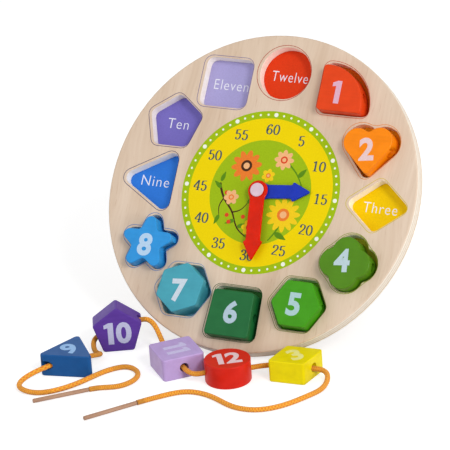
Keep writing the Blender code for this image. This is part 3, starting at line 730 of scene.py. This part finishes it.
# %% Lay the lines
for hour, loop in recess_rims.items():
    bm = bmesh.new()
    # Round the fourth, fifth and sixth recesses a second line just outside the cut is painted shade along the
    # rim's edge.
    offsets = (LINE_OFFSET, RIM_SHADE_OFFSET) if hour in (4, 5, 6) else (LINE_OFFSET,)
    for offset in offsets:
        line = [p + PRINT_SHIFT * (offset / LINE_OFFSET) for p in grown(loop, offset)]
        ribbon(bm, line, [LINE_WIDTH] * len(line), INK_LIFT, closed=True)
    raise_faces(bm, bm.faces[:], INK_FILM)
    ink = printed("line_ink_%d" % hour, LINE_COLOURS[hour])
    settle(bm, "recess_line_%d" % hour, "board", [ink], where=BOARD)
print("lines printed")

# %% [markdown]
# ## Dial
# The dial is a printed disc: a green rim with sixty dots, a yellow ring with
# the minutes, and a green middle. One circle is inset twice, so the three zones
# share their edges, and each zone gets its own ink.

# %% Dial rings
GREEN_RIM = DIAL_RADIUS * 0.090
YELLOW_RING = DIAL_RADIUS * 0.270
DIAL_LIFT = 0.00001
green_ink = printed("dial_green", (162, 192, 18))
yellow_ink = printed("dial_yellow", (242, 214, 0), wear=0.05)
leaf_ink = printed("dial_leaf_green", (160, 190, 22))
bm = bmesh.new()
bmesh.ops.create_circle(bm, cap_ends=True, segments=144, radius=DIAL_RADIUS)
rim = bmesh.ops.inset_region(bm, faces=bm.faces[:], thickness=GREEN_RIM, use_boundary=True)["faces"]
inner = [f for f in bm.faces if f not in rim]
ring = bmesh.ops.inset_region(bm, faces=inner, thickness=YELLOW_RING, use_boundary=True)["faces"]
for face in bm.faces:
    face.material_index = 0 if face in rim else 1 if face in ring else 2
bmesh.ops.translate(bm, vec=(0.0, 0.0, DIAL_LIFT), verts=bm.verts)
raise_faces(bm, bm.faces[:], INK_FILM)
dial = settle(bm, "dial_print", "board", [green_ink, yellow_ink, leaf_ink], where=BOARD)
print("dial has", len(dial.data.polygons), "faces")

# %% Dots on the rim
LARGE_DOT = 0.026
SMALL_DOT = 0.0135
DOT_CIRCLE = 0.955
OVER_DIAL = 0.00005
white_ink = printed("dial_white", (246, 248, 236), wear=0.06)
bm = bmesh.new()
for minute in range(60):
    size = LARGE_DOT if minute % 5 == 0 else SMALL_DOT
    angle = math.pi / 2 - math.tau * minute / 60
    spot = Vector((math.cos(angle), math.sin(angle), 0.0)) * DIAL_RADIUS * DOT_CIRCLE
    spot.z = OVER_DIAL
    add_disc(bm, spot, DIAL_RADIUS * size, 18)
raise_faces(bm, bm.faces[:], INK_FILM)
settle(bm, "minute_dots", "board", [white_ink], where=BOARD)
print("sixty dots printed")

# %% [markdown]
# ## Flowers in the middle of the dial
# The green middle carries a simple garden print. A flower is a ring of petals
# with two discs on it, a leaf is a pointed oval, and a twig is a ribbon along a
# smooth line. Each layer is a film a little higher than the one below it.

# %% Inks and films of the garden print
PETAL_ORANGE = printed("print_orange", (238, 128, 48))
PETAL_YELLOW = printed("print_yellow", (246, 208, 30))
PETAL_PEACH = printed("print_peach", (246, 186, 130))
TWIG_BROWN = printed("print_brown", (74, 44, 24))
LEAF_GREEN = printed("print_green", (92, 140, 24))
BERRY_RED = printed("print_red", (222, 74, 40))
GARDEN_INKS = [PETAL_ORANGE, PETAL_YELLOW, PETAL_PEACH, TWIG_BROWN, LEAF_GREEN, BERRY_RED]
ORANGE, YELLOW, PEACH, BROWN, GREEN, RED = range(6)
LAYER_FILM = 0.00001
GARDEN_LIFT = 0.00004
garden = bmesh.new()


def film(bm, ink, layer):
    """Raise a flat shape to the height of a layer, give it an ink and add it to the print."""
    for face in bm.faces:
        face.material_index = ink
    raise_faces(bm, bm.faces[:], LAYER_FILM * layer)
    bmesh.ops.scale(bm, vec=(DIAL_RADIUS, DIAL_RADIUS, 1.0), verts=bm.verts)
    bmesh.ops.translate(bm, vec=(0.0, 0.0, GARDEN_LIFT), verts=bm.verts)
    join_to(garden, bm)


# %% Shapes of the garden print
def disc(x, y, radius, ink, layer):
    """A round spot."""
    bm = bmesh.new()
    add_disc(bm, (x, y, 0.0), radius, 20)
    film(bm, ink, layer)


def oval(x, y, length, width, angle, ink, layer, point=0.0):
    """An oval from its foot outwards, drawn to a point if wished."""
    bm = bmesh.new()
    ring = []
    for a in np.linspace(0.0, math.tau, 20, endpoint=False):
        reach = 0.5 + 0.5 * math.cos(a)
        thin = 1.0 - point * reach ** 2
        ring.append((length * reach, width / 2 * math.sin(a) * thin, 0.0))
    bm.faces.new([bm.verts.new(p) for p in ring])
    turned = Matrix.Translation((x, y, 0.0)) @ Matrix.Rotation(angle, 4, "Z")
    bmesh.ops.transform(bm, matrix=turned, verts=bm.verts)
    film(bm, ink, layer)


def flower(x, y, reach, petals, ink, heart, layer, turn=0.0):
    """Petals in two layers with a heart of two discs on them."""
    for k in range(petals):
        angle = turn + math.tau * k / petals
        oval(x, y, reach, reach * 4.2 / petals, angle, ink, layer + k % 2)
    disc(x, y, reach * 0.36, heart, layer + 2)
    disc(x, y, reach * 0.20, PEACH if heart != PEACH else ORANGE, layer + 3)


def twig(points, width, ink, layer):
    """A stem that grows thinner along a smooth line."""
    bm = bmesh.new()
    line = [Vector(p) for p in smooth_line([(x, y, 0.0) for x, y in points], steps=6)]
    widths = [width * (1.0 - 0.6 * i / len(line)) for i in range(len(line))]
    ribbon(bm, line, widths, 0.0)
    film(bm, ink, layer)


# %% Lay the garden print
twig([(-0.53, 0.06), (-0.44, -0.12), (-0.30, -0.28), (-0.20, -0.46), (-0.06, -0.56)], 0.030, BROWN, 1)
twig([(-0.44, -0.12), (-0.48, -0.22), (-0.46, -0.33)], 0.018, BROWN, 1)
twig([(-0.30, -0.28), (-0.20, -0.24), (-0.13, -0.15)], 0.018, BROWN, 1)
for x, y, angle in (
    (-0.50, 0.00, 2.5), (-0.38, -0.19, 0.8), (-0.46, -0.33, -1.9), (-0.13, -0.15, 0.9),
    (-0.25, -0.37, 3.6), (-0.20, -0.45, 0.4), (-0.08, -0.55, 0.1), (-0.52, 0.08, 1.3),
):
    oval(x, y, 0.13, 0.060, angle, GREEN, 2, point=0.8)
for x, y in ((-0.36, -0.32), (-0.32, -0.40), (-0.15, -0.32), (-0.42, -0.05)):
    disc(x, y, 0.026, RED, 3)
twig([(0.34, -0.30), (0.30, -0.44), (0.22, -0.57)], 0.030, GREEN, 1)
oval(0.29, -0.47, 0.17, 0.08, -0.4, GREEN, 2, point=0.8)
twig([(0.26, 0.40), (0.40, 0.28), (0.52, 0.10)], 0.024, GREEN, 1)
oval(0.44, 0.23, 0.14, 0.07, 0.9, GREEN, 2, point=0.8)
oval(0.50, 0.14, 0.13, 0.06, -2.0, GREEN, 2, point=0.8)
flower(0.35, -0.24, 0.215, 12, YELLOW, ORANGE, 3, turn=0.1)
flower(-0.24, 0.30, 0.195, 10, ORANGE, BROWN, 3, turn=0.2)
flower(0.22, 0.42, 0.125, 8, PEACH, RED, 3)
flower(0.06, 0.21, 0.085, 6, YELLOW, ORANGE, 3, turn=0.4)
flower(-0.35, -0.10, 0.095, 6, PEACH, ORANGE, 4, turn=0.2)
flower(-0.05, -0.44, 0.095, 6, YELLOW, RED, 4)
settle(garden, "garden_print", "board", GARDEN_INKS, where=BOARD)
print("the garden print is laid")

# %% [markdown]
# ## Numbers and words
# The block numbers and the words come from Blender's own plain typeface, apart
# from the one, which gets a flag. The text is made a mesh, measured and scaled to
# the height wanted, so its place doesn't depend on the typeface. A small Offset
# thickens the numbers into bold ones and makes the words a little finer.

# %% Text maker
TEXT_MERGE = 0.000002


def mesh_of_text(curve):
    """A bmesh of a text, made through an object that is removed again."""
    holder = new_object("holder", curve)
    shown = holder.evaluated_get(bpy.context.evaluated_depsgraph_get())
    mesh = bpy.data.meshes.new_from_object(shown)
    bm = bmesh.new()
    bm.from_mesh(mesh)
    bpy.data.objects.remove(holder)
    bpy.data.meshes.remove(mesh)
    bmesh.ops.remove_doubles(bm, verts=bm.verts, dist=TEXT_MERGE)
    return bm


def text_mesh(words, height, bold, spacing=1.0, width=None):
    """A bmesh of printed words, centred on the origin, with its height set."""
    curve = bpy.data.curves.new("words", "FONT")
    curve.body = words
    curve.size = 1.0
    curve.offset = bold
    curve.space_character = spacing
    curve.resolution_u = 4
    curve.extrude = 0.001
    bm = mesh_of_text(curve)
    low = Vector(min(v.co[i] for v in bm.verts) for i in range(3))
    high = Vector(max(v.co[i] for v in bm.verts) for i in range(3))
    bmesh.ops.translate(bm, vec=-(low + high) / 2, verts=bm.verts)
    tall = height / (high.y - low.y)
    wide = tall if width is None else width / (high.x - low.x)
    bmesh.ops.scale(bm, vec=(wide, tall, 0.015), verts=bm.verts)
    return bm


# %% Bold figures
ONE_OUTLINE = [(0.40, 0.0), (0.40, 1.0), (0.21, 1.0), (0.0, 0.90), (0.0, 0.73), (0.16, 0.77), (0.16, 0.0)]
FIGURE_SPACE = 0.10


def flagged_one(height):
    """The figure one with a flag, which the plain typeface lacks."""
    bm = bmesh.new()
    face = bm.faces.new([bm.verts.new((x * height, (y - 0.5) * height, 0.0)) for x, y in ONE_OUTLINE])
    raise_faces(bm, [face], INK_FILM)
    return bm


def figures(words, height, bold):
    """Bold figures side by side, centred on the origin."""
    joined = bmesh.new()
    reach = 0.0
    space = FIGURE_SPACE * height
    for sign in words:
        bm = flagged_one(height) if sign == "1" else text_mesh(sign, height, bold)
        bmesh.ops.translate(bm, vec=(reach - min(v.co.x for v in bm.verts), 0.0, 0.0), verts=bm.verts)
        reach = max(v.co.x for v in bm.verts) + space
        join_to(joined, bm)
    bmesh.ops.translate(joined, vec=((space - reach) / 2, 0.0, 0.0), verts=joined.verts)
    return joined


def lay_print(bm, name, place, turn, ink, body, frame_matrix=BOARD):
    """Lay printed shapes at a place in a frame, turned about the frame's Z axis."""
    where = frame_matrix @ Matrix.Translation(place) @ Matrix.Rotation(turn, 4, "Z")
    settle(bm, name, body, [ink], where=where)


print("text maker is ready")

# %% [markdown]
# The minutes have a bookish face with thick upright strokes and thin level ones,
# as a pen with a wide nib writes them. So each figure is a few strokes, and the
# width of a stroke at each point follows from its direction and the nib.

# %% Strokes of the minutes
NIB_WIDE = 0.170
NIB_THIN = 0.070
FIGURE_WIDTH = 1.14
STROKES = {
    "0": [[(0.28 + 0.22 * math.cos(a), 0.5 + 0.46 * math.sin(a)) for a in np.linspace(0, math.tau, 17)]],
    "1": [[(0.10, 0.80), (0.29, 0.94)], [(0.29, 0.97), (0.29, 0.03)], [(0.12, 0.03), (0.46, 0.03)]],
    "2": [
        [
            (0.10, 0.72), (0.14, 0.90), (0.30, 0.97), (0.45, 0.88), (0.47, 0.70), (0.36, 0.48), (0.14, 0.22),
            (0.05, 0.06),
        ],
        [(0.05, 0.07), (0.28, 0.09), (0.52, 0.06)],
    ],
    "3": [
        [(0.10, 0.78), (0.16, 0.92), (0.30, 0.97), (0.43, 0.88), (0.43, 0.68), (0.33, 0.56), (0.19, 0.52)],
        [(0.19, 0.52), (0.37, 0.50), (0.49, 0.36), (0.47, 0.14), (0.32, 0.03), (0.15, 0.05), (0.09, 0.19)],
    ],
    "4": [
        [(0.40, 0.97), (0.02, 0.29)], [(0.02, 0.28), (0.54, 0.28)], [(0.40, 0.97), (0.40, 0.03)],
        [(0.26, 0.03), (0.52, 0.03)],
    ],
    "5": [
        [(0.14, 0.93), (0.30, 0.94), (0.47, 0.97)], [(0.13, 0.95), (0.11, 0.54)],
        [(0.11, 0.54), (0.26, 0.61), (0.43, 0.52), (0.48, 0.30), (0.38, 0.08), (0.20, 0.03), (0.10, 0.15)],
    ],
    "6": [
        [
            (0.44, 0.82), (0.36, 0.95), (0.20, 0.87), (0.08, 0.60), (0.07, 0.30), (0.18, 0.06), (0.36, 0.05),
            (0.48, 0.22), (0.45, 0.44), (0.30, 0.55), (0.15, 0.46), (0.08, 0.32),
        ]
    ],
}
BALLS = {"2": [(0.13, 0.73)], "3": [(0.13, 0.78), (0.12, 0.19)], "5": [(0.13, 0.17)], "6": [(0.41, 0.82)]}
FIGURE_STEP = 0.70
FIGURE_START = 0.03
BALL_RADIUS = 0.075
print("strokes of", len(STROKES), "figures")


# %% Pen figures
def pen_figures(words, height):
    """Figures written with a wide nib, centred on the origin."""
    bm = bmesh.new()
    start = -FIGURE_STEP * len(words) / 2 + FIGURE_START
    for sign in words:
        for stroke in STROKES[sign]:
            points = [
                Vector(((start + FIGURE_WIDTH * x) * height, (y - 0.5) * height, 0.0)) for x, y in stroke
            ]
            if len(points) > 3:
                points = [Vector(p) for p in smooth_line(points, steps=4)]
            widths = []
            for i in range(len(points)):
                way = (points[min(i + 1, len(points) - 1)] - points[max(i - 1, 0)]).normalized()
                widths.append(math.hypot(NIB_WIDE * way.y, NIB_THIN * way.x) * height)
            ribbon(bm, points, widths, 0.0)
        for x, y in BALLS.get(sign, []):
            spot = ((start + FIGURE_WIDTH * x) * height, (y - 0.5) * height, 0.0)
            add_disc(bm, spot, BALL_RADIUS * height, 12)
        start += FIGURE_STEP
    raise_faces(bm, bm.faces[:], INK_FILM)
    return bm


# %% Minutes on the dial
MINUTE_CIRCLE = 0.775
MINUTE_HEIGHT = DIAL_RADIUS * 0.128
minute_ink = printed("minute_grey_blue", (84, 100, 100), wear=0.25)
for minute in range(5, 61, 5):
    angle = math.pi / 2 - math.tau * minute / 60
    across = math.cos(angle) * DIAL_RADIUS * MINUTE_CIRCLE
    up = math.sin(angle) * DIAL_RADIUS * MINUTE_CIRCLE
    figure = pen_figures(str(minute), MINUTE_HEIGHT)
    lay_print(figure, "minutes_%d" % minute, (across, up, OVER_DIAL), 0.0, minute_ink, "board")
print("minutes printed")

# %% Words in the empty recesses
word_ink = printed("word_white", (236, 236, 248), wear=0.04)
WORDS = {
    12: ("Twelve", (0.0007, 0.1058), 0.0334), 11: ("Eleven", (-0.0516, 0.0933), 0.0321),
    10: ("Ten", (-0.0934, 0.0543), 0.0200), 9: ("Nine", (-0.1029, 0.0013), 0.0261),
    3: ("Three", (0.1061, 0.0003), 0.0306),
}
WORD_HEIGHT = 0.0090
WORD_BOLD = -0.010
WORD_SPACING = 1.12
WORD_LEVEL = FLOOR_TOP + 0.00014
for hour, (word, spot, width) in WORDS.items():
    lay_print(
        text_mesh(word, WORD_HEIGHT, WORD_BOLD, spacing=WORD_SPACING, width=width),
        "word_%d" % hour, (spot[0], spot[1], WORD_LEVEL), 0.0, word_ink, "board",
    )
print(len(WORDS), "words printed")

# %% [markdown]
# ## Number blocks
# Each block is a painted hardwood shape with a lacing hole through it and its
# number printed on top. The CAD solids have these shapes, so smooth copies
# stand for them. The blocks on the table have their grain turned with them.

# %% Block maker
BLOCK_THICKNESS = 0.0195
NUMERAL_HEIGHT = 0.0200
NUMERAL_BOLD = 0.038


def number_block(number, body, paint, ink, grain_frame, print_frame, place, turn, show=0.14):
    """A painted block in the shape of its CAD node, with its number printed on it."""
    node = "block_%d" % number
    finish = painted("paint_%d" % number, paint, show, grain_frame)
    made = smooth_stand_in(node, "number_block_%d" % number, body, finish)
    numeral = figures(str(number), NUMERAL_HEIGHT, NUMERAL_BOLD)
    numeral_ink = printed("numeral_ink_%d" % number, ink, frame_matrix=grain_frame)
    lay_print(numeral, "numeral_%d" % number, place, math.radians(turn), numeral_ink, body, print_frame)


# %% Blocks in the board
SEATED = {
    1: ((232, 70, 20), (228, 178, 200), (53.4, 91.4), 0.0),
    2: ((255, 140, 6), (236, 204, 204), (91.0, 44.9), 8.0),
    4: ((82, 136, 18), (190, 212, 220), (89.6, -51.9), 6.0),
    5: ((66, 156, 14), (176, 210, 212), (55.2, -93.9), 0.0),
    6: ((26, 106, 54), (180, 204, 218), (0.9, -107.4), 0.0),
    7: ((72, 166, 184), (208, 222, 234), (-50.1, -94.9), 5.0),
    8: ((46, 152, 225), (186, 216, 244), (-90.5, -59.3), 0.0),
}
BLOCK_TOP = 0.0098
for number, (paint, ink, spot, turn) in SEATED.items():
    place = (spot[0] / 1000, spot[1] / 1000, BLOCK_TOP + INK_LIFT)
    number_block(number, "seated_%d" % number, paint, ink, BOARD, BOARD, place, turn)
print(len(SEATED), "seated blocks")

# %% Blocks on the lace
LACED = {
    9: ((28, 90, 156), (160, 200, 245), (-118.8, -64.5), 40.7, 52.0),
    11: ((199, 172, 228), (214, 204, 244), (-32.6, -37.3), -44.8, -44.8),
    12: ((222, 38, 22), (240, 208, 214), (16.4, -42.1), 30.0, 33.0),
    3: ((246, 228, 0), (246, 240, 150), (67.7, -19.38), 42.8, 46.0),
}
LACED_TOP = (0.0, 0.0, BLOCK_THICKNESS + INK_LIFT)
for number, (paint, ink, spot, heading, text_heading) in LACED.items():
    stand = TABLE @ Matrix.Translation((spot[0] / 1000, spot[1] / 1000, 0.0))
    turned = stand @ Matrix.Rotation(math.radians(heading), 4, "Z")
    number_block(number, "laced_%d" % number, paint, ink, turned, stand, LACED_TOP, text_heading)
print(len(LACED), "blocks lie on the table")

# %% The standing five-sided block
STANDING_HEADING = math.radians(28.0)
STANDING_PLACE = (-0.0998, -0.0122, 0.018)
stand = TABLE @ Matrix.Translation(STANDING_PLACE) @ Matrix.Rotation(STANDING_HEADING, 4, "Z")
upright = stand @ Matrix.Rotation(math.pi / 2, 4, "X")
front = upright @ Matrix.Translation((0.0, 0.0, BLOCK_THICKNESS / 2 + INK_LIFT))
number_block(
    10, "laced_10", (98, 62, 162), (200, 202, 234), upright, front, (0.0, -0.001, 0.0), 0.0, show=0.30
)
print("block 10 stands upright")

# %% [markdown]
# ## Hands and pin
# The hands are moulded in glossy plastic. A thin clear coat gives them a faint
# gloss, and a very fine ripple keeps them from looking like perfect mirrors. The
# pin's cap is a paler, duller plastic.

# %% Plastic materials
FLOW_SCALE = 120.0
RIPPLE_SCALE = 420.0
RIPPLE_HEIGHT = 0.00002
FLOW_SHADE = 0.86


def moulded(name, colour, gloss):
    """Moulded plastic with faint flow marks and a fine ripple."""
    made, tree, shader, where = start_material(name, BOARD)
    flow = noise(tree, where, FLOW_SCALE, 2.0)["Fac"]
    fine = noise(tree, where, RIPPLE_SCALE, 2.0)["Fac"]
    deep = [c * FLOW_SHADE for c in linear(colour)[:3]] + [1.0]
    feed(tree, shader.inputs, {
        "Base Color": mix_colours(tree, spread(tree, flow, 0.35, 0.7), linear(colour), deep),
        "Roughness": spread(tree, fine, 0.3, 0.7, gloss, gloss + 0.08),
        "Normal": bump(tree, fine, RIPPLE_HEIGHT, 0.5),
        "Specular IOR Level": 0.05,
        "Coat Weight": 0.06,
        "Coat Roughness": 0.06,
    })
    return made


# %% Hands, pin and washers
hour_blue = moulded("hour_blue", (30, 56, 184), 0.22)
hour = smooth_stand_in("hour_hand", "blue_hour_hand", "hour_hand", hour_blue)
minute_red = moulded("minute_red", (224, 32, 0), 0.18)
minute = smooth_stand_in("minute_hand", "red_minute_hand", "minute_hand", minute_red)
pin_pale = moulded("pin_pale", (226, 200, 214), 0.35)
cap = smooth_stand_in("clock_pin", "pin_with_cap", "board", pin_pale)
washer_white = moulded("washer_white", (228, 222, 226), 0.35)

# %% Steel of the collar
BRUSH_SCALE = 1500.0
collar_steel, tree, shader, where = start_material("collar_steel", BOARD)
brushed = noise(tree, where, BRUSH_SCALE, 3.0)["Fac"]
feed(tree, shader.inputs, {
    "Metallic": 1.0,
    "Base Color": mix_colours(tree, brushed, linear((150, 152, 156)), linear((196, 198, 202))),
    "Roughness": spread(tree, brushed, 0.3, 0.7, 0.28, 0.45),
})
dress("lower_washer", washer_white)
dress("upper_washer", washer_white)
dress("pin_collar", collar_steel)
print("hands and pin finished")

# %% [markdown]
# ## Studio
# A pale floor and soft lamps. The key lamp stands high at the front right, so
# shadows fall to the left and behind. The floor looks white to the camera and to
# glossy surfaces, and it still takes the object's shadow.

# %% Floor
FLOOR_SIZE = 6.0
FLOOR_GREY = (0.60, 0.60, 0.60, 1.0)
FLOOR_GLOW = 0.62
WHITE = (1.0, 1.0, 1.0, 1.0)


def seen_or_mirrored(tree):
    """One for rays from the camera, off gloss or through glass, and zero for the rest."""
    ray = add_node(tree, "ShaderNodeLightPath").outputs
    mirrored = calculate(tree, "MAXIMUM", ray["Is Glossy Ray"], ray["Is Transmission Ray"])
    return calculate(tree, "MAXIMUM", ray["Is Camera Ray"], mirrored)


bm = bmesh.new()
bmesh.ops.create_grid(bm, x_segments=1, y_segments=1, size=FLOOR_SIZE)
bmesh.ops.translate(bm, vec=TABLE.translation, verts=bm.verts)
mesh = bpy.data.meshes.new("floor")
bm.to_mesh(mesh)
bm.free()
floor = new_object("floor", mesh)
floor_white, tree, shader = new_material("floor_white")
glow = calculate(tree, "MULTIPLY", seen_or_mirrored(tree), FLOOR_GLOW)
feed(tree, shader.inputs, {
    "Base Color": FLOOR_GREY,
    "Roughness": 0.9,
    "Emission Color": WHITE,
    "Emission Strength": glow,
})
mesh.materials.append(floor_white)
print("floor laid")

# %% Lamps and world
LAMP_AIM = (0.0, -0.1, 0.0)
WARM_WHITE = (1.0, 0.99, 0.97)
COOL_WHITE = (0.97, 0.985, 1.0)
AMBIENT = 0.50


def lamp(name, place, size, power, colour):
    """A round soft lamp that shines on the puzzle."""
    light = bpy.data.lights.new(name, "AREA")
    light.shape = "DISK"
    light.size = size
    light.energy = power
    light.color = colour
    made = new_object(name, light)
    way = Vector(LAMP_AIM) - Vector(place)
    made.matrix_world = Matrix.Translation(place) @ way.to_track_quat("-Z", "Y").to_matrix().to_4x4()


lamp("key", (1.7, -1.25, 1.6), 0.8, 26.0, WARM_WHITE)
lamp("side", (2.3, -0.8, 0.3), 0.7, 13.0, WARM_WHITE)
lamp("fill", (-1.4, -2.0, 1.1), 2.2, 13.5, COOL_WHITE)
world = bpy.data.worlds.new("studio")
bpy.context.scene.world = world
world.use_nodes = True
tree = world.node_tree
strength = spread(tree, seen_or_mirrored(tree), 0.0, 1.0, AMBIENT, 1.0)
feed(tree, tree.nodes["Background"].inputs, {"Color": WHITE, "Strength": strength})
bpy.context.scene.view_settings.view_transform = "Standard"
print("lamps are on")
